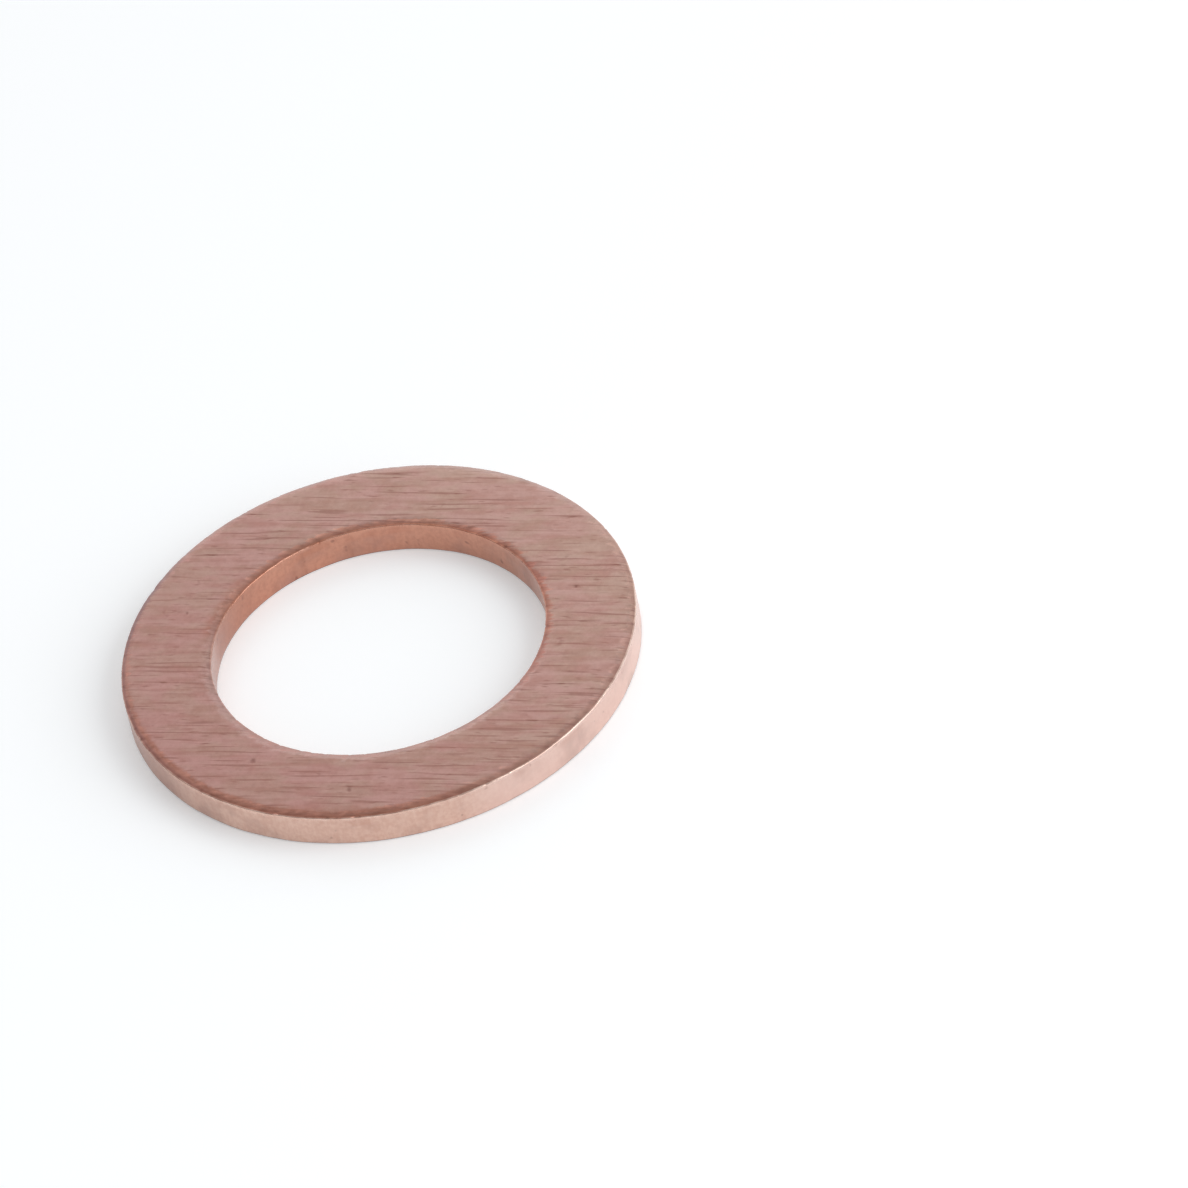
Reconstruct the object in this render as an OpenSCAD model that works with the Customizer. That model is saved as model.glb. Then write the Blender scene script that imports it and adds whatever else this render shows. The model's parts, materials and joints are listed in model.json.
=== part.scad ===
// Flat sealing ring, punched out of copper strip and brushed on its upper face.
// Punching leaves the same edge on the rim and round the hole: the face rolls
// down towards the wall, a fine lip joins it to the wall, and the foot of the
// wall is just broken. The ring lies flat, with its back on z = 0 and the hole
// along Z.

/* [Ring] */
// Outside diameter
outer_d = 15.9; // [12.4:0.1:24]
// Diameter of the hole
hole_d = 10.3; // [4:0.1:13.9]
// Thickness of the copper strip
thickness = 1.1; // [0.5:0.05:3]

/* [Rim] */
// How far in from the outer wall the face starts to roll down
rim_roll_w = 0.32; // [0.1:0.01:0.4]
// How far the roll would drop at the outer wall if it met it sharp
rim_roll_h = 0.07; // [0.02:0.01:0.1]
// Radius of the lip between the roll and the outer wall
rim_lip_r = 0.03; // [0.01:0.005:0.04]
// Radius of the broken edge at the foot of the outer wall
rim_foot_r = 0.06; // [0.02:0.01:0.15]

/* [Hole edge] */
// How far out from the hole wall the face starts to roll down
hole_roll_w = 0.32; // [0.1:0.01:0.4]
// How far the roll would drop at the hole wall if it met it sharp
hole_roll_h = 0.07; // [0.02:0.01:0.1]
// Radius of the lip between the roll and the hole wall
hole_lip_r = 0.03; // [0.01:0.005:0.04]
// Radius of the broken edge at the foot of the hole wall
hole_foot_r = 0.06; // [0.02:0.01:0.15]

/* [Hidden] */
copper = "#b0857b";
outer_r = outer_d / 2;
hole_r = hole_d / 2;
// The cutting shapes stand this far clear of the faces that they cut
over = 0.5;
$fn = 240;

// Radius of an arc that leaves the face level and drops by h over the width w
function roll_radius(w, h) = (w * w + h * h) / (2 * h);

// What the roll and its lip take off a square corner. The wall is the line
// x = 0, the face is the line y = 0, and the metal is below and to the left.
module roll_waste(w, h, lip) {
    roll_r = roll_radius(w, h);
    roll_c = [-w, -roll_r];
    lip_c = [-lip, roll_c.y + sqrt(pow(roll_r - lip, 2) - pow(w - lip, 2))];
    towards_lip = lip_c - roll_c;
    difference() {
        translate([-w, lip_c.y]) square([w + over, over - lip_c.y]);
        intersection() {
            translate(roll_c) circle(roll_r);
            polygon([roll_c, roll_c + [0, 2 * roll_r], roll_c + 2 * towards_lip]);
        }
        translate(lip_c) circle(lip);
    }
}

// What the broken foot edge takes off a square corner, with the wall at x = 0,
// the back at y = 0, and the metal above and to the left.
module foot_waste(r) {
    difference() {
        translate([-r, -over]) square([r + over, r + over]);
        translate([-r, r]) circle(r);
    }
}

// Half of the ring's cross-section, to the right of its axis
module section() {
    difference() {
        translate([hole_r, 0]) square([outer_r - hole_r, thickness]);
        translate([outer_r, thickness]) roll_waste(rim_roll_w, rim_roll_h, rim_lip_r);
        translate([outer_r, 0]) foot_waste(rim_foot_r);
        translate([hole_r, thickness]) mirror([1, 0]) roll_waste(hole_roll_w, hole_roll_h, hole_lip_r);
        translate([hole_r, 0]) mirror([1, 0]) foot_waste(hole_foot_r);
    }
}

module washer() {
    color(copper) rotate_extrude() section();
}

washer();
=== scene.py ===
import json
import math

import bpy
from mathutils import Matrix, Vector


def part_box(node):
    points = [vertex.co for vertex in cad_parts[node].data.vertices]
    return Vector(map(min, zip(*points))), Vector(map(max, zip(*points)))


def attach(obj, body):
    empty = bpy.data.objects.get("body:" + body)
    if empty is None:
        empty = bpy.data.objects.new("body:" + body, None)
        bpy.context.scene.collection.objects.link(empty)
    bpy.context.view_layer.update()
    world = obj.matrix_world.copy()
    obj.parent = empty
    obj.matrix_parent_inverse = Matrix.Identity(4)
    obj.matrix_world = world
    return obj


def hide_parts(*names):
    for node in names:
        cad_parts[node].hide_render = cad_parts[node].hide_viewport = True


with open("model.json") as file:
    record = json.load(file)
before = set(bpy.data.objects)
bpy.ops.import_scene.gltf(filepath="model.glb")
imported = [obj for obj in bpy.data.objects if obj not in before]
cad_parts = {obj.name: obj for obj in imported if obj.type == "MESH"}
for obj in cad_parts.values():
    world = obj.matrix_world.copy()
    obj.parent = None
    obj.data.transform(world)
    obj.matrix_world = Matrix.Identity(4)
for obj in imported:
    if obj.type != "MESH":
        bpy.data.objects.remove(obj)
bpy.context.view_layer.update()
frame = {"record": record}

# A flat copper sealing washer, punched and brushed, lying on a white table in soft studio light.
# Lengths are in metres, but those of the patterns and the finish are in millimetres.
# An azimuth is in degrees from +X. A pair such as (0.3, 0.11) says where a mask starts and where
# it is full.

mm = 0.001


# Node sums written as plain expressions

class Wire:
    # One output of a node tree. A sum on it adds Math nodes, or Vector Math nodes for a vector.
    def __init__(self, bench, socket):
        self.bench = bench
        self.socket = socket

    def sum(self, operation, *terms):
        if not any(isVectorTerm(term) for term in terms):
            return self.bench.add("ShaderNodeMath", {"operation": operation}, dict(enumerate(terms)))
        spread = [(t, t, t) if isinstance(t, (int, float)) else t for t in terms]
        return self.bench.add("ShaderNodeVectorMath", {"operation": operation}, dict(enumerate(spread)))

    def __add__(self, other):
        return self.sum("ADD", self, other)

    def __radd__(self, other):
        return self.sum("ADD", other, self)

    def __sub__(self, other):
        return self.sum("SUBTRACT", self, other)

    def __rsub__(self, other):
        return self.sum("SUBTRACT", other, self)

    def __mul__(self, other):
        if self.socket.type == "VECTOR" and not isVectorTerm(other):
            scaled = {"operation": "SCALE"}
            return self.bench.add("ShaderNodeVectorMath", scaled, {0: self, "Scale": other})
        return self.sum("MULTIPLY", self, other)

    def __rmul__(self, other):
        return self * other

    def __truediv__(self, other):
        return self.sum("DIVIDE", self, other)

    def __rtruediv__(self, other):
        return self.sum("DIVIDE", other, self)

    def __neg__(self):
        return self * -1.0

    def of(self, operation, *others):
        # A sum that has no sign of its own, such as "SQRT" or "MINIMUM"
        return self.sum(operation, self, *others)

    def parts(self):
        split = self.bench.add("ShaderNodeSeparateXYZ", {}, {0: self}, whole=True)
        return [Wire(self.bench, s) for s in split.outputs]

    def ramp(self, low, high, start=0.0, end=1.0):
        # Carries low..high over to start..end, with soft ends
        shape = {"interpolation_type": "SMOOTHSTEP"}
        sockets = {0: self, 1: low, 2: high, 3: start, 4: end}
        return self.bench.add("ShaderNodeMapRange", shape, sockets)


def isVectorTerm(term):
    if isinstance(term, Wire):
        return term.socket.type == "VECTOR"
    return isinstance(term, tuple)


def between(share, first, second):
    # first where the share is 0, and second where it is 1
    return share * (second - first) + first


class Bench:
    # Adds nodes to one tree, with their settings first and their sockets after
    def __init__(self, tree):
        self.tree = tree

    def add(self, kind, settings=None, sockets=None, output=0, whole=False):
        node = self.tree.nodes.new(kind)
        for name, value in (settings or {}).items():
            setattr(node, name, value)
        for name, value in (sockets or {}).items():
            if isinstance(value, Wire):
                self.tree.links.new(value.socket, node.inputs[name])
            else:
                node.inputs[name].default_value = value
        if whole:
            return node
        return Wire(self, node.outputs[output])

    def point(self, x, y, z):
        return self.add("ShaderNodeCombineXYZ", {}, {0: x, 1: y, 2: z})

    def length(self, vector):
        return self.add("ShaderNodeVectorMath", {"operation": "LENGTH"}, {0: vector}, output=1)

    def noise(self, place, scale, detail, roughness):
        sockets = {"Vector": place, "Scale": scale, "Detail": detail, "Roughness": roughness}
        return self.add("ShaderNodeTexNoise", {"noise_dimensions": "3D"}, sockets)

    def mixColour(self, share, first, second, blend="MIX"):
        settings = {"data_type": "RGBA", "blend_type": blend}
        return self.add("ShaderNodeMix", settings, {0: share, 6: first, 7: second}, output=2)

    def tinted(self, colour, tint):
        return self.mixColour(1.0, colour, tint, "MULTIPLY")


def emptyBench(owner):
    # The node tree of a new material or world, with nothing on it yet
    owner.use_nodes = True
    owner.node_tree.nodes.clear()
    return Bench(owner.node_tree)


def addObject(name, data):
    added = bpy.data.objects.new(name, data)
    bpy.context.scene.collection.objects.link(added)
    return added


# The ring: one revolved section, with the small faults of punching and handling

boreRadius = next(m for m in frame["record"]["mounts"] if m["name"] == "bore")["dims"]["r_mm"] * mm
ringLow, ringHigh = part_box("washer")

ring = {  # each is an input of the node tree
    "Outer Diameter": ringHigh.x - ringLow.x,
    "Hole Diameter": 2 * boreRadius,
    "Thickness": ringHigh.z - ringLow.z,
    "Roll Width": 0.32 * mm,
    "Roll Drop": 0.07 * mm,
    "Roll Points": 6,             # points of the section on each arc of the roll
    "Lip Radius": 0.03 * mm,
    "Lip Points": 3,
    "Foot Radius": 0.06 * mm,
    "Foot Points": 3,
    "Face Step": 0.055 * mm,      # spacing of the mesh across the face
    "Back Coarseness": 5.0,       # how much wider it is on the back
    "Steps Around": 980,
    "Wall Wave": 0.012 * mm,      # how uneven the punched walls are
    "Roll Wave": 0.015 * mm,      # how uneven the rolled edge is
    "Nick Depth": 0.014 * mm,     # small knocks along the lips
    "Stroke Depth": 0.004 * mm,   # the coarse strokes of the brush
    "Pit Depth": 0.022 * mm,
    "Seed": 7,
}


def pick(bench, kind, index, values):
    # One of several values, by the number of the point
    switch = bench.add("GeometryNodeIndexSwitch", {"data_type": kind}, {"Index": index}, whole=True)
    while len(switch.index_switch_items) < len(values):
        switch.index_switch_items.new()
    for socket, value in zip(list(switch.inputs)[1:], values):
        bench.tree.links.new(value.socket, socket)
    return Wire(bench, switch.outputs[0])


def ringSection(bench, size, outerRadius):
    # A closed line, with x out from the rim and y down from the back
    holeRadius = size["Hole Diameter"] / 2
    thick = size["Thickness"]
    rollWidth = size["Roll Width"]
    rollDrop = size["Roll Drop"]
    lipRadius = size["Lip Radius"]

    # The roll is an arc that leaves the face level. Its tangent where the lip takes over
    # slopes by rollSlope, and with the face and the wall it makes the corners to be rounded.
    rollRadius = (rollWidth * rollWidth + rollDrop * rollDrop) / (rollDrop * 2)
    rollSlope = ((rollWidth - lipRadius) / (rollRadius - lipRadius)).of("ARCSINE")
    faceCorner = rollWidth - rollRadius * (rollSlope / 2).of("TANGENT")
    wallCorner = thick - faceCorner * rollSlope.of("TANGENT")
    footArc = (size["Foot Radius"], size["Foot Points"])
    lipArc = (lipRadius, size["Lip Points"])
    rollArc = (rollRadius, size["Roll Points"])
    corners = [  # (out from the middle, up from the back, the arc that rounds it)
        (holeRadius, 0.0, footArc),
        (outerRadius, 0.0, footArc),
        (outerRadius, wallCorner, lipArc),
        (outerRadius - faceCorner, thick, rollArc),
        (holeRadius + faceCorner, thick, rollArc),
        (holeRadius, wallCorner, lipArc),
    ]
    places = [bench.point(out - outerRadius, -up, 0.0) for out, up, _ in corners]
    radii = [arc[0] for _, _, arc in corners]
    counts = [arc[1] for _, _, arc in corners]

    index = bench.add("GeometryNodeInputIndex")
    line = bench.add("GeometryNodeMeshLine", {}, {"Count": len(corners)})
    placed = {"Geometry": line, "Position": pick(bench, "VECTOR", index, places)}
    line = bench.add("GeometryNodeSetPosition", {}, placed)
    section = bench.add("GeometryNodeMeshToCurve", {}, {0: line})
    section = bench.add("GeometryNodeSetSplineCyclic", {}, {"Geometry": section, "Cyclic": True})
    rounded = {
        "Curve": section,
        "Count": pick(bench, "INT", index, counts),
        "Radius": pick(bench, "FLOAT", index, radii),
    }
    return bench.add("GeometryNodeFilletCurve", {"mode": "POLY"}, rounded)


backReach = (0.0, 0.1 * mm)       # a straight is on the back where its ends' heights add up to 0


def cutToStep(bench, size, section):
    # The face is cut to the mesh's step, the walls to twice that, and the back coarser still
    here = bench.add("GeometryNodeInputPosition")
    following = bench.add("GeometryNodeOffsetPointInCurve", {}, {"Offset": 1}, output=1)
    lookUp = {"Index": following, "Value": here}
    there = bench.add("GeometryNodeFieldAtIndex", {"data_type": "FLOAT_VECTOR"}, lookUp)
    gap = bench.length(there - here)
    rise = (there - here).parts()[1].of("ABSOLUTE")
    heights = -(here.parts()[1] + there.parts()[1])
    coarseness = heights.ramp(*backReach, size["Back Coarseness"], 1.0)
    step = coarseness * (rise / gap + 1) * size["Face Step"]
    divided = {"Curve": section, "Cuts": (gap / step).of("FLOOR")}
    return bench.add("GeometryNodeSubdivideCurve", {}, divided)


# Strokes of the brush and pits, which both the shape and the finish have

brush = {  # layers of strokes: (length, width, turn from the others in degrees, detail)
    "broad": (3.2, 0.23, 0.0, 1.0),
    "plain": (2.0, 0.17, 1.0, 0.7),
    "fine": (1.2, 0.08, -1.5, 1.0),
    "cloud": (0.62, 0.32, -6.0, 1.0),
    "tan": (1.4, 0.75, 4.0, 2.0),
    "scored": (1.9, 0.1, -1.0, 0.0),
    "nick": (0.5, 0.1, -3.0, 0.0),
    "chatter": (1.9, 0.45, 84.0, 1.0),
}
brushAzimuth = -18.3              # the way the strokes run
brushRoughness = 0.6              # how rough the noise is that draws them
layerGap = 7.3                    # keeps the pattern of one layer apart from the next
pits = [  # (x, y, radius) of the pits that catch the eye
    (-4.36, -4.36, 0.10),
    (-1.68, -6.56, 0.09),
    (-5.6, 3.0, 0.06),
    (6.2, 0.25, 0.055),
]
pitSquash = 0.65                  # below 1, the pits are longer across the strokes
pitSlope = (1.0, 0.2)             # from the edge of a pit to its floor, as shares of its radius


class Spot:
    # A point of the ring, and where it lies from the edges and the face, all in one unit
    def __init__(self, place, rimRadius, holeRadius, thick):
        self.place = place
        self.x, self.y, self.z = place.parts()
        self.radius = (self.x * self.x + self.y * self.y).of("SQRT")
        self.rimRadius = rimRadius
        self.holeRadius = holeRadius
        fromRim = rimRadius - self.radius
        fromHole = self.radius - holeRadius
        self.fromEdge = fromRim.of("MINIMUM", fromHole)
        self.belowFace = thick - self.z
        self.byHole = (fromRim - fromHole).of("GREATER_THAN", 0.0)
        self.byRim = 1 - self.byHole

    def towards(self, azimuth, radius):
        # 1 where the azimuth meets a circle of this radius, and -1 on the far side
        turn = math.radians(azimuth)
        return (self.x * math.cos(turn) + self.y * math.sin(turn)) / radius


def brushStrokes(bench, x, y, layer):
    # x and y are in millimetres. Each layer is turned a little, so that its strokes cross the others.
    length, width, turn, detail = brush[layer]
    angle = math.radians(brushAzimuth + turn)
    along = (x * math.cos(angle) + y * math.sin(angle)) / length
    across = (y * math.cos(angle) - x * math.sin(angle)) / width
    apart = layerGap * (list(brush).index(layer) + 1)
    return bench.noise(bench.point(along, across, apart), 1.0, detail, brushRoughness)


def pitMask(bench, x, y):
    # 1 on the floor of each pit, and 0 outside it, with x and y in millimetres
    mask = 0.0
    for pitX, pitY, pitRadius in pits:
        aside = (x - pitX) / pitRadius
        ahead = (y - pitY) / pitRadius * pitSquash
        mask = bench.length(bench.point(aside, ahead, 0.0)).ramp(*pitSlope) + mask
    return mask


# The wear of the shape

wear = {  # the noise's scale for each millimetre, detail and roughness, and its levels that show
    "wallWave": {
        "noise": (0.7, 3.0, 0.55),
        "levels": (0.3, 0.7),
        "inward": (0.35 * mm, 0.0),
    },
    "rollWave": {
        "noise": (2.6, 3.0, 0.6),
        "levels": (0.35, 0.75),
        "inward": (0.45 * mm, 0.1 * mm),
        "down": (0.3 * mm, 0.0),
    },
    "knocks": {
        "noise": (4.2, 2.0, 0.7),
        "levels": (0.54, 0.72),
        "inward": (0.1 * mm, 0.0),
        "down": (0.2 * mm, 0.05 * mm),
    },
}
strokeLevels = (0.3, 0.7)
topDown = (0.09 * mm, 0.02 * mm)  # how far down from the face there are strokes and pits
seedStep = (13.7, 5.1, 0.0)       # how far one step of the seed moves the waves and knocks
knockShift = (31.0, 7.0, 3.0)     # keeps the knocks apart from the waves


def wearDepth(bench, spot, place, name, deepest):
    kind = wear[name]
    within = spot.fromEdge.ramp(*kind["inward"])
    if "down" in kind:
        within = within * spot.belowFace.ramp(*kind["down"])
    return bench.noise(place, *kind["noise"]).ramp(*kind["levels"]) * deepest * within


def wearOffset(bench, size, outerRadius):
    # All wear goes into the metal, so the ring keeps within its true size
    position = bench.add("GeometryNodeInputPosition")
    spot = Spot(position, outerRadius, size["Hole Diameter"] / 2, size["Thickness"])
    outward = bench.point(spot.x / spot.radius, spot.y / spot.radius, 0.0)
    intoMetal = outward * (spot.byHole - spot.byRim)
    shifted = spot.place / mm + bench.point(*(size["Seed"] * step for step in seedStep))

    wallIn = wearDepth(bench, spot, shifted, "wallWave", size["Wall Wave"])
    rollDown = wearDepth(bench, spot, shifted, "rollWave", size["Roll Wave"])
    nick = wearDepth(bench, spot, shifted + knockShift, "knocks", size["Nick Depth"])
    onTop = spot.belowFace.ramp(*topDown)
    strokes = brushStrokes(bench, spot.x / mm, spot.y / mm, "broad").ramp(*strokeLevels)
    strokeDown = strokes * size["Stroke Depth"] * onTop
    pitDown = pitMask(bench, spot.x / mm, spot.y / mm) * size["Pit Depth"] * onTop

    down = rollDown + nick + strokeDown + pitDown
    return intoMetal * (wallIn + nick) - bench.point(0.0, 0.0, down)


def buildRingTree(material):
    tree = bpy.data.node_groups.new("punchedRing", "GeometryNodeTree")
    for name, value in ring.items():
        kind = "NodeSocketInt" if isinstance(value, int) else "NodeSocketFloat"
        tree.interface.new_socket(name, in_out="INPUT", socket_type=kind)
    tree.interface.new_socket("Geometry", in_out="OUTPUT", socket_type="NodeSocketGeometry")
    bench = Bench(tree)
    given = bench.add("NodeGroupInput", whole=True)
    size = {name: Wire(bench, given.outputs[name]) for name in ring}

    outerRadius = size["Outer Diameter"] / 2
    section = cutToStep(bench, size, ringSection(bench, size, outerRadius))
    rail = {"Resolution": size["Steps Around"], "Radius": outerRadius}
    circle = bench.add("GeometryNodeCurvePrimitiveCircle", {"mode": "RADIUS"}, rail)
    body = bench.add("GeometryNodeCurveToMesh", {}, {"Curve": circle, "Profile Curve": section})
    body = bench.add("GeometryNodeFlipFaces", {}, {"Mesh": body})
    worn = {"Geometry": body, "Offset": wearOffset(bench, size, outerRadius)}
    body = bench.add("GeometryNodeSetPosition", {}, worn)
    body = bench.add("GeometryNodeSetShadeSmooth", {}, {"Geometry": body, "Shade Smooth": True})
    body = bench.add("GeometryNodeRealizeInstances", {}, {"Geometry": body})
    body = bench.add("GeometryNodeSetMaterial", {}, {"Geometry": body, "Material": material})
    bench.add("NodeGroupOutput", {}, {"Geometry": body}, whole=True)
    return tree


def makeRing(material):
    tree = buildRingTree(material)
    holder = addObject("ringHolder", bpy.data.meshes.new("ringHolder"))
    modifier = holder.modifiers.new("punchedRing", "NODES")
    modifier.node_group = tree
    for item in tree.interface.items_tree:
        if item.in_out == "INPUT":
            modifier[item.identifier] = ring[item.name]
    evaluated = holder.evaluated_get(bpy.context.evaluated_depsgraph_get())
    mesh = bpy.data.meshes.new_from_object(evaluated)
    mesh.name = "copperRing"
    holder.modifiers.remove(modifier)
    bpy.data.objects.remove(holder)
    return addObject("copperRing", mesh)


# The finish of the copper

copper = {
    "faceLight": (0.471, 0.291, 0.258, 1.0),
    "faceDark": (0.341, 0.185, 0.156, 1.0),
    "pinkTint": (1.02, 0.985, 0.995, 1.0),    # the strip's own tone, where it is pinker
    "tanTint": (0.975, 1.015, 0.965, 1.0),    # and where it is browner
    "scored": (0.25, 0.115, 0.09, 1.0),
    "rolledTint": (1.12, 0.69, 0.49, 1.0),    # the roll's colour, as a share of the strip's
    # oxide, and painted shade on the roll and at the left ends of the walls
    "oxideAndShade": (0.34, 0.135, 0.09, 1.0),
    # painted shade for the roll, where it turns away from the light and at the rim's left
    "paintedRollShade": (0.20, 0.08, 0.075, 1.0),
    "pit": (0.20, 0.075, 0.06, 1.0),
    # painted shade for where the walls stand on the table
    "footShade": (0.16, 0.07, 0.05, 1.0),
    # the lip: partly burnished metal, partly a painted highlight
    "lip": (0.90, 0.66, 0.56, 1.0),
    "wall": (0.75, 0.515, 0.425, 1.0),
    "wallShade": (0.67, 0.422, 0.338, 1.0),
    # a painted sheen for the right of the rim's wall
    "paintedWallSheen": (0.84, 0.62, 0.56, 1.0),
    "holeWall": (0.62, 0.30, 0.207, 1.0),
    "holeShade": (0.54, 0.25, 0.172, 1.0),
    "metallic": 0.9,
    "faceRoughness": 0.46,
    "wallRoughness": 0.32,
    "lipRoughness": 0.2,
    "strokesVary": 0.5,           # how much the strokes of the face vary its roughness
    "mottleVaries": 0.15,         # and how much the mottle does, all over
    "filmRoughness": 0.25,
    "filmIndex": 1.75,
    "reliefStrength": 0.6,
    "reliefDepth": 0.012 * mm,
    "lipRelief": 0.2,             # how much of the relief is left on the lip
}
patterns = {  # scale for each millimetre, detail, roughness
    "grain": (11.0, 2.0, 0.6),
    "mottle": (7.5, 2.0, 0.5),
    "blotch": (1.3, 2.0, 0.5),
    "drag": (1.0, 2.0, 0.6),
    "ragged": (4.4, 3.0, 0.7),
    "rubbed": (1.7, 2.0, 0.55),
    "speck": (3.1, 1.0, 0.4),
}
dragStretch = (12.0, 12.0, 1.5)   # the lines that the punch has dragged stand upright
mixes = {  # patterns added together, each by its share
    "stroke": {"broad": 0.3, "plain": 0.18, "fine": 0.04, "cloud": 0.26, "chatter": 0.11, "grain": 0.11},
    "wallTone": {"mottle": 0.55, "drag": 0.25, "blotch": 0.2},
    "wallRelief": {"mottle": 0.5, "drag": 0.15},
    "waver": {"ragged": 0.4, "plain": 0.35, "fine": 0.35},
}


def mixOf(noise, name):
    return sum(noise[part] * share for part, share in mixes[name].items())


def copperPatterns(bench, spot):
    noise = {layer: brushStrokes(bench, spot.x, spot.y, layer) for layer in brush}
    for name, (scale, detail, roughness) in patterns.items():
        place = spot.place * dragStretch if name == "drag" else spot.place
        noise[name] = bench.noise(place, scale, detail, roughness)
    noise["stroke"] = mixOf(noise, "stroke")
    return noise


sides = {  # parts of the edges: (edge, azimuth, cosine where it starts, cosine where it is full)
    "left": ("rim", 180.0, 0.6, 0.95),
    "leftEnd": ("rim", 180.0, 0.7, 1.0),
    "frontLeft": ("rim", 233.1, 0.2, 0.9),
    "front": ("rim", 240.1, 0.2, 0.8),
    "frontRight": ("rim", 333.4, 0.268, 0.626),
    "right": ("rim", 0.0, 0.1, 0.4),
    "rightHalf": ("rim", 0.0, -0.05, 0.4),
    "far": ("rim", 90.0, 0.1, 0.7),
    "farHalf": ("rim", 90.0, -0.1, 0.3),
    "holeLeft": ("hole", 180.0, 0.85, 0.98),
    "holeLeftWall": ("hole", 180.0, 0.75, 0.97),
    "holeLeftEnd": ("hole", 180.0, 0.5, 0.95),
    "holeNear": ("hole", 270.0, -0.2, 0.4),
    "holeRight": ("hole", 0.0, 0.6, 0.95),
    "holeFar": ("hole", 90.0, -0.2, 0.2),
    "holeFarLeft": ("hole", 111.7, 0.3, 0.9),
}


def side(spot, name):
    # 1 along one part of the rim or the hole, and 0 round the rest
    edge, azimuth, start, full = sides[name]
    if edge == "rim":
        return spot.towards(azimuth, spot.rimRadius).ramp(start, full) * spot.byRim
    return spot.towards(azimuth, spot.holeRadius).ramp(start, full) * spot.byHole


def lessen(spot, mask, losses):
    # Takes a share of a mask away along some parts of the edges
    for name, loss in losses.items():
        mask = mask * (1 - side(spot, name) * loss)
    return mask


face = {
    "strokeLevels": (0.37, 0.63),
    "tanLevels": (0.36, 0.62),
    "paintedLightTowards": 25.5,         # the azimuth that the painted light makes the strip paler towards
    "paintedLightBy": (0.07, 0.125, 0.112),                      # how much lighter the painted light makes it, in each colour
    "scores": {"scored": (0.62, 0.74, 0.57), "nick": (0.68, 0.84, 0.6)},  # levels, and how dark
}


def faceColour(bench, spot, noise):
    # Straight strokes over strokes, a few of them deep, on a strip with painted light that is paler to
    # one side
    strokes = noise["stroke"].ramp(*face["strokeLevels"])
    colour = bench.mixColour(strokes, copper["faceDark"], copper["faceLight"])
    tan = noise["tan"].ramp(*face["tanLevels"])
    tone = bench.mixColour(tan, copper["pinkTint"], copper["tanTint"])
    aside = spot.towards(face["paintedLightTowards"], spot.rimRadius)
    paintedLight = bench.point(*(aside * more + 1 for more in face["paintedLightBy"]))
    colour = bench.tinted(colour, bench.tinted(tone, paintedLight))
    scores = sum(noise[name].ramp(*levels) * dark for name, (*levels, dark) in face["scores"].items())
    return bench.mixColour(scores, colour, copper["scored"])


walls = {
    "inward": (0.022, 0.004),
    "levels": (0.36, 0.64),
    "sheenRight": 0.6,             # how much painted sheen the rim's wall has at the right, where the key lamp falls
    "leftWallShade": 0.6,             # how much painted shade it has at its left end
    "holeLeftWallShade": 0.5,         # and how much the hole's wall has there
}


def wallColour(bench, spot, noise):
    # Smoother than the face and finely mottled, with faint upright drag lines, a painted sheen at the
    # right of the rim and painted shade at the left ends
    tone = mixOf(noise, "wallTone").ramp(*walls["levels"])
    rimWall = bench.mixColour(tone, copper["wallShade"], copper["wall"])
    sheen = side(spot, "right") * walls["sheenRight"]
    rimWall = bench.mixColour(sheen, rimWall, copper["paintedWallSheen"])
    holeWall = bench.mixColour(tone, copper["holeShade"], copper["holeWall"])
    colour = bench.mixColour(spot.byHole, rimWall, holeWall)
    # Painted shade at the left ends of the rim's wall and the hole's wall
    leftEnd = side(spot, "leftEnd") * walls["leftWallShade"]
    holeLeftEnd = side(spot, "holeLeftEnd") * walls["holeLeftWallShade"]
    return bench.mixColour(leftEnd + holeLeftEnd, colour, copper["oxideAndShade"])


roll = {
    "wavers": (0.03, 0.15),       # its border runs straight beside the lip
    "inward": (0.3, 0.11),
    "down": (0.5, 0.3),
    "brushed": {"holeLeft": 0.85, "rightHalf": 0.55},     # partly where the brush did reach it, partly painted light where the key lamp falls on it
    "turnedAway": 0.5,            # how much painted shade it has where it turns away from the light
    "holeRight": 0.8,             # how much of that there is at the right of the hole
    "leftInward": (0.2, 0.08),
    "leftRollShade": (0.45, 0.8),   # painted shade at the left of the rim, from the top of the roll to the lip
}
lip = {
    "inward": (0.05, 0.012),
    "down": (0.22, 0.1),
    "wider": 0.015,               # how much wider it is at the front right, as a painted highlight
    "inHole": 0.4,                # how much of it the hole has
    "missing": {"farHalf": 0.85},
    "rubbedLevels": (0.36, 0.62),
    "rubbed": (0.15, 0.8),        # how bright it is where nothing has rubbed it, and where something has
    "highlightFrontRight": 0.1,              # painted highlight added at the front right
}


def edgeMasks(spot, noise):
    # The brush misses the roll and leaves it a ragged border. The lip below it is rubbed bright, and
    # partly a painted highlight.
    waver = mixOf(noise, "waver") - sum(mixes["waver"].values()) / 2
    border = waver * spot.fromEdge.ramp(*roll["wavers"]) + spot.fromEdge
    onRoll = border.ramp(*roll["inward"]) * spot.belowFace.ramp(*roll["down"])
    onRoll = lessen(spot, onRoll, roll["brushed"])
    wider = side(spot, "frontRight") * lip["wider"]
    onLip = (spot.fromEdge - wider).ramp(*lip["inward"]) * spot.belowFace.ramp(*lip["down"])
    onLip = lessen(spot, onLip * between(spot.byHole, 1.0, lip["inHole"]), lip["missing"])
    onWall = spot.fromEdge.ramp(*walls["inward"])
    offFace = onWall.of("MAXIMUM", onRoll)
    return {"border": border, "roll": onRoll, "lip": onLip, "wall": onWall, "offFace": offFace}


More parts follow.
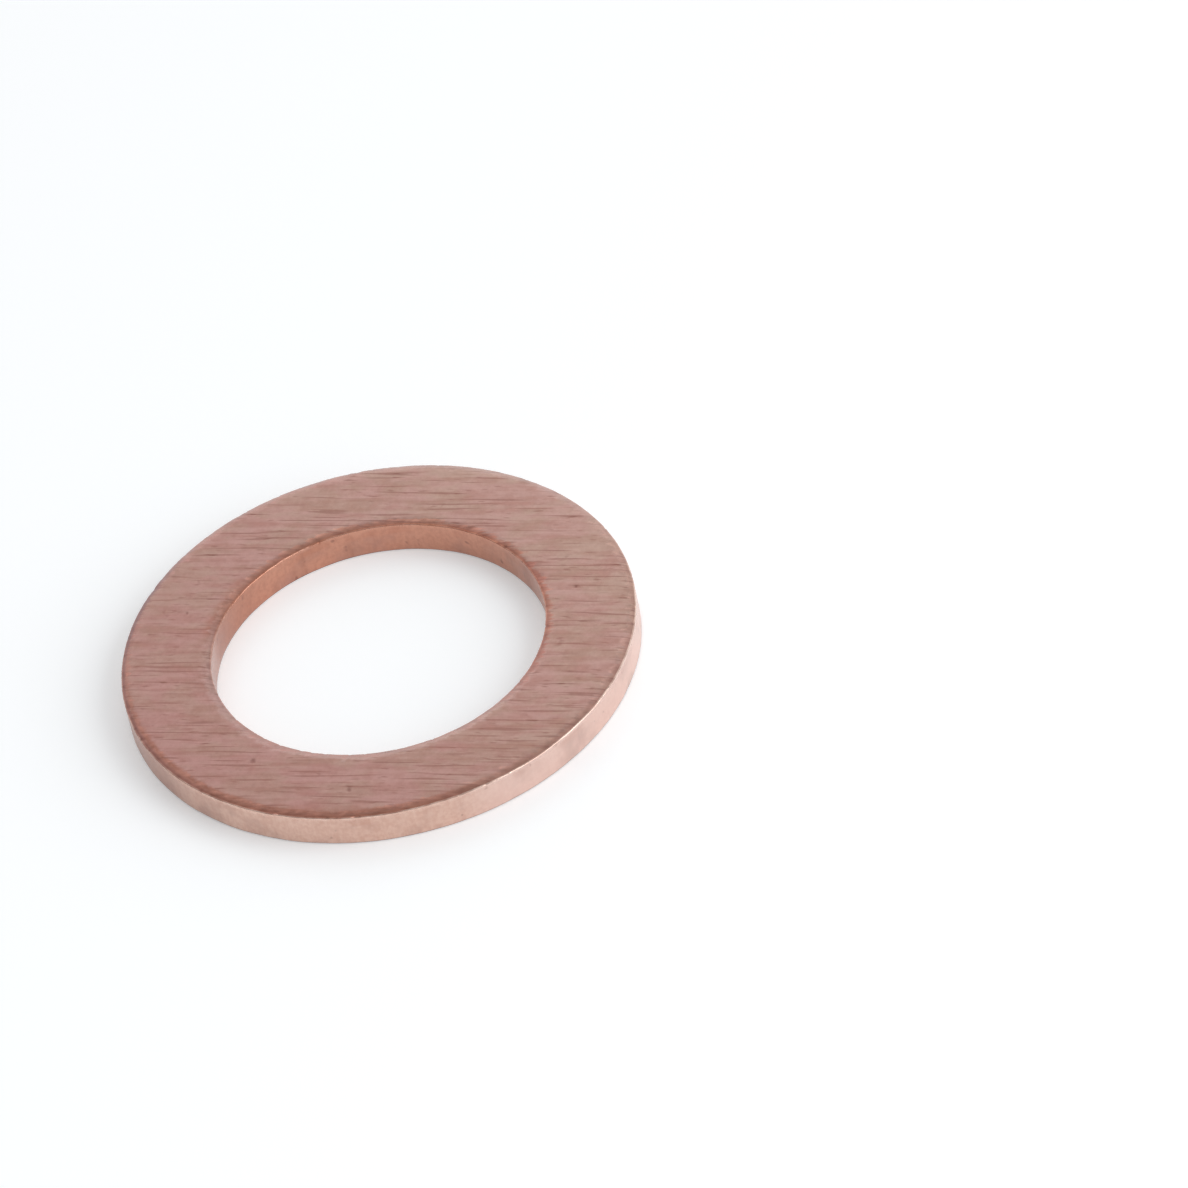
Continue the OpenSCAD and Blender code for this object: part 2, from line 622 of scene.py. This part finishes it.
# The roll's own colour, with painted shade where it turns away from the light and at the left of the rim
def rolledColour(bench, spot, strip):
    holeRight = side(spot, "holeRight") * roll["holeRight"]
    turnedAway = side(spot, "holeNear").of("MAXIMUM", holeRight) + side(spot, "far")
    left = side(spot, "left") * spot.fromEdge.ramp(*roll["leftInward"], *roll["leftRollShade"])
    colour = bench.tinted(strip, copper["rolledTint"])
    return bench.mixColour(turnedAway * roll["turnedAway"] + left, colour, copper["paintedRollShade"])


def lipBurnishAndHighlight(spot, noise):
    rubbed = noise["rubbed"].ramp(*lip["rubbedLevels"], *lip["rubbed"])
    return side(spot, "frontRight") * lip["highlightFrontRight"] + rubbed


oxideAndShade = {
    "inward": (0.3, 0.12),
    "waver": 0.35,                # how ragged its border is
    "wider": 0.07,                # how much wider it is at the front left of the rim
    "inHole": 0.8,                # how much of it the hole has
    "topInward": (0.08, 0.24),
    "lipToTop": (0.4, 1.0),       # how much of it lies beside the lip, and at the top of the roll
    "levels": (0.3, 0.6),
    "gaps": (0.6, 1.0),           # how much of it there is in its gaps, and between them
    "stainLevels": (0.35, 0.6),
    "stainGaps": (0.4, 1.0),
}
stains = [  # (edge, azimuth, cosines where it starts and is full, the same inwards, how dark)
    ("hole", 146.5, (0.934, 0.994), (0.6, 0.2), 0.6),
    ("rim", 250.1, (0.97, 0.995), (0.6, 0.15), 0.5),
]


def oxideAndShadeMask(spot, noise):
    # Darker along two sides of the roll, partly oxide caught there and partly painted shade, and there
    # are two stains
    ragged = noise["ragged"]
    frontLeft = side(spot, "frontLeft")
    border = (ragged - 0.5) * oxideAndShade["waver"] - frontLeft * oxideAndShade["wider"] + spot.fromEdge
    caught = border.ramp(*oxideAndShade["inward"]) * spot.fromEdge.ramp(*oxideAndShade["topInward"], *oxideAndShade["lipToTop"])
    caught = caught * (side(spot, "holeFarLeft") * oxideAndShade["inHole"] + frontLeft)
    caught = caught * ragged.ramp(*oxideAndShade["levels"], *oxideAndShade["gaps"])
    stained = 0.0
    for edge, azimuth, around, inward, dark in stains:
        byEdge = spot.byRim if edge == "rim" else spot.byHole
        shape = spot.towards(azimuth, spot.radius).ramp(*around) * spot.fromEdge.ramp(*inward)
        stained = shape * byEdge * dark + stained
    return caught.of("MAXIMUM", stained * ragged.ramp(*oxideAndShade["stainLevels"], *oxideAndShade["stainGaps"]))


marks = {
    "pit": 0.5,                   # how dark the pits are
    "pitDown": (0.1, 0.05),
    "speckLevels": (0.73, 0.83),
    "speck": (0.25, 0.55),        # how dark the specks are on the face, and on the walls
    "holeHeight": (0.8, 0.3),
    "moreInHole": (0.02, 0.07),   # how many more specks there are high in the hole, and low
    "foot": 0.55,                 # how dark the painted shade is where the walls stand on the table
    "footHeight": (0.07, 0.015),
}


def markedColour(bench, spot, noise, masks, colour):
    more = spot.z.ramp(*marks["holeHeight"], *marks["moreInHole"]) * masks["wall"] * spot.byHole
    specks = (noise["speck"] + more).ramp(*marks["speckLevels"]) * between(masks["wall"], *marks["speck"])
    pitted = pitMask(bench, spot.x, spot.y) * spot.belowFace.ramp(*marks["pitDown"]) * marks["pit"]
    colour = bench.mixColour(pitted.of("MAXIMUM", specks), colour, copper["pit"])
    # Painted shade where the walls meet the table
    foot = spot.z.ramp(*marks["footHeight"]) * marks["foot"]
    return bench.mixColour(foot, colour, copper["footShade"])


film = {  # a thin film of oil and tarnish, off the brushed face
    "inward": (0.32, 0.1),
    "wider": 0.06,                # how much wider it is at the near side of the hole
    "missing": {"holeLeft": 0.3, "holeRight": 0.6, "left": 0.4, "front": 0.3},
    "farLipInward": (0.08, 0.04),
    "farLip": 0.85,               # how much of it is off the hole's far lip
    "walls": 0.1,
    "holeWall": 0.12,             # added on the hole's wall
    "holeLeftWall": 0.5,          # and added at its left end
}


def filmMask(spot, masks):
    border = masks["border"] - side(spot, "holeNear") * film["wider"]
    onRoll = lessen(spot, border.ramp(*film["inward"]), film["missing"])
    farLip = spot.fromEdge.ramp(*film["farLipInward"]) * side(spot, "holeFar")
    onRoll = onRoll * (1 - farLip * film["farLip"])
    inHole = spot.byHole * film["holeWall"] + side(spot, "holeLeftWall") * film["holeLeftWall"]
    return between(masks["wall"], onRoll, inHole + film["walls"])


def roughnessOf(noise, masks):
    offFace = masks["offFace"]
    roughness = between(offFace, copper["faceRoughness"], copper["wallRoughness"])
    roughness = (noise["stroke"] - 0.5) * copper["strokesVary"] * (1 - offFace) + roughness
    roughness = (noise["mottle"] - 0.5) * copper["mottleVaries"] + roughness
    return between(masks["lip"], roughness, copper["lipRoughness"])


def reliefOf(bench, noise, masks):
    onWalls = mixOf(noise, "wallRelief") * between(masks["lip"], 1.0, copper["lipRelief"])
    return bench.add("ShaderNodeBump", {}, {
        "Strength": copper["reliefStrength"],
        "Distance": copper["reliefDepth"],
        "Height": between(masks["offFace"], noise["stroke"], onWalls),
    })


def makeCopper():
    material = bpy.data.materials.new("brushedCopper")
    bench = emptyBench(material)
    coords = bench.add("ShaderNodeTexCoord", whole=True)
    place = Wire(bench, coords.outputs["Object"]) / mm
    diameters = (ring["Outer Diameter"], ring["Hole Diameter"])
    spot = Spot(place, *(across / 2 / mm for across in diameters), ring["Thickness"] / mm)
    noise = copperPatterns(bench, spot)
    masks = edgeMasks(spot, noise)

    strip = faceColour(bench, spot, noise)
    colour = bench.mixColour(masks["roll"], strip, rolledColour(bench, spot, strip))
    # partly oxide, partly painted shade along the roll
    colour = bench.mixColour(oxideAndShadeMask(spot, noise), colour, copper["oxideAndShade"])
    colour = bench.mixColour(masks["lip"] * lipBurnishAndHighlight(spot, noise), colour, copper["lip"])
    colour = bench.mixColour(masks["wall"], colour, wallColour(bench, spot, noise))
    colour = markedColour(bench, spot, noise, masks, colour)

    shader = bench.add("ShaderNodeBsdfPrincipled", {}, {
        "Base Color": colour,
        "Metallic": copper["metallic"],
        "Roughness": roughnessOf(noise, masks),
        "Normal": reliefOf(bench, noise, masks),
        "Coat Weight": filmMask(spot, masks),
        "Coat Roughness": copper["filmRoughness"],
        "Coat IOR": copper["filmIndex"],
    })
    bench.add("ShaderNodeOutputMaterial", {}, {"Surface": shader}, whole=True)
    return material


# Floor, light and camera

stage = {
    "floorWidth": 0.6,
    "floorColour": (0.875, 0.9, 0.92, 1.0),
    "floorLift": 0.25,            # brings the floor up to white, for the camera and in reflections
    "skyPlain": 0.45,             # the same from every side
    "skyLean": 0.25,              # how much brighter that is on the right
    "horizon": 0.5,               # added low down all round, like a white backdrop
    "horizonLean": 0.45,          # how much brighter that is on the right
    "horizonBand": (0.5, 0.1),    # sines of the elevations where it starts and where it is full
    "glow": 1.35,                 # added at the middle of the soft light behind the ring
    "glowSpread": 12.0,           # higher is narrower
    "glowFrom": (95.0, 38.0),     # azimuth and elevation in degrees
}


def makeFloor():
    half = stage["floorWidth"] / 2
    mesh = bpy.data.meshes.new("table")
    corners = [(-half, -half, 0), (half, -half, 0), (half, half, 0), (-half, half, 0)]
    mesh.from_pydata(corners, [], [(0, 1, 2, 3)])
    floor = addObject("table", mesh)
    material = bpy.data.materials.new("whiteTable")
    bench = emptyBench(material)
    diffuse = bench.add("ShaderNodeBsdfDiffuse", {}, {"Color": stage["floorColour"]})
    rays = bench.add("ShaderNodeLightPath", whole=True)
    kinds = ("Is Camera Ray", "Is Glossy Ray", "Is Transmission Ray")
    seen = sum(Wire(bench, rays.outputs[kind]) for kind in kinds).of("MINIMUM", 1.0)
    glow = bench.add("ShaderNodeEmission", {}, {"Strength": seen * stage["floorLift"]})
    both = bench.add("ShaderNodeAddShader", {}, {0: diffuse, 1: glow})
    bench.add("ShaderNodeOutputMaterial", {}, {"Surface": both}, whole=True)
    mesh.materials.append(material)


def makeSky():
    world = bpy.data.worlds.new("studio")
    bench = emptyBench(world)
    coords = bench.add("ShaderNodeTexCoord", whole=True)
    ray = Wire(bench, coords.outputs["Generated"])
    azimuth, elevation = (math.radians(degrees) for degrees in stage["glowFrom"])
    level = math.cos(elevation)
    middle = (level * math.cos(azimuth), level * math.sin(azimuth), math.sin(elevation))
    product = {"operation": "DOT_PRODUCT"}
    facing = bench.add("ShaderNodeVectorMath", product, {0: ray, 1: middle}, output=1)
    glow = facing.of("MAXIMUM", 0.0).of("POWER", stage["glowSpread"]) * stage["glow"]
    across, _, up = ray.parts()
    horizon = up.ramp(*stage["horizonBand"]) * (across * stage["horizonLean"] + 1) * stage["horizon"]
    plain = (across * stage["skyLean"] + 1) * stage["skyPlain"]
    light = {"Color": (1, 1, 1, 1), "Strength": glow + horizon + plain}
    background = bench.add("ShaderNodeBackground", {}, light)
    bench.add("ShaderNodeOutputWorld", {}, {"Surface": background}, whole=True)
    bpy.context.scene.world = world


lamps = {  # azimuth and elevation in degrees, distance and width in metres, power in watts
    "keyLamp": (336.0, 32.0, 0.26, 0.22, 0.36),
}


def addLamp(name):
    azimuth, elevation, distance, width, watts = lamps[name]
    lamp = bpy.data.lights.new(name, "AREA")
    lamp.shape = "SQUARE"
    lamp.size = width
    lamp.energy = watts
    raised = Matrix.Rotation(-math.radians(elevation), 3, "Y")
    place = Matrix.Rotation(math.radians(azimuth), 3, "Z") @ raised @ Vector((distance, 0, 0))
    holder = addObject(name, lamp)
    holder.location = place
    holder.rotation_euler = (-place).to_track_quat("-Z", "Y").to_euler()


view = {
    "elevation": math.radians(40.66),
    "roll": math.radians(12.53),
    "distance": 0.25,
    "focalPixels": 8221.0,
    "pictureSide": 1188.0,        # the photograph's side, in pixels
    "ringAt": (384.2, 662.9),     # where the middle of the ring's back lies in it
    "sensor": 36.0,               # the width of the camera's own sensor, in millimetres
    "nearest": 0.01,
}


def makeCamera():
    forward = Vector((0, math.cos(view["elevation"]), -math.sin(view["elevation"])))
    level = Vector((1, 0, 0))
    upright = level.cross(forward)
    turn = view["roll"]
    right = level * math.cos(turn) - upright * math.sin(turn)
    up = level * math.sin(turn) + upright * math.cos(turn)
    middle = view["pictureSide"] / 2
    perPixel = view["distance"] / view["focalPixels"]
    sideways = (view["ringAt"][0] - middle) * perPixel
    lower = (view["ringAt"][1] - middle) * perPixel
    place = -forward * view["distance"] - right * sideways + up * lower
    lens = bpy.data.cameras.new("camera")
    lens.sensor_width = view["sensor"]
    lens.lens = view["sensor"] * view["focalPixels"] / view["pictureSide"]
    lens.clip_start = view["nearest"]
    camera = addObject("camera", lens)
    camera.matrix_world = Matrix.Translation(place) @ Matrix((right, up, -forward)).transposed().to_4x4()
    bpy.context.scene.camera = camera


brushedCopper = makeCopper()
print("copper:", len(brushedCopper.node_tree.nodes), "nodes")

washer = makeRing(brushedCopper)
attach(washer, "root")
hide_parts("washer")
print("ring:", len(washer.data.polygons), "faces")

makeFloor()
makeSky()
for lampName in lamps:
    addLamp(lampName)
makeCamera()
bpy.context.scene.view_settings.view_transform = "Standard"
print("stage, light and camera are set")
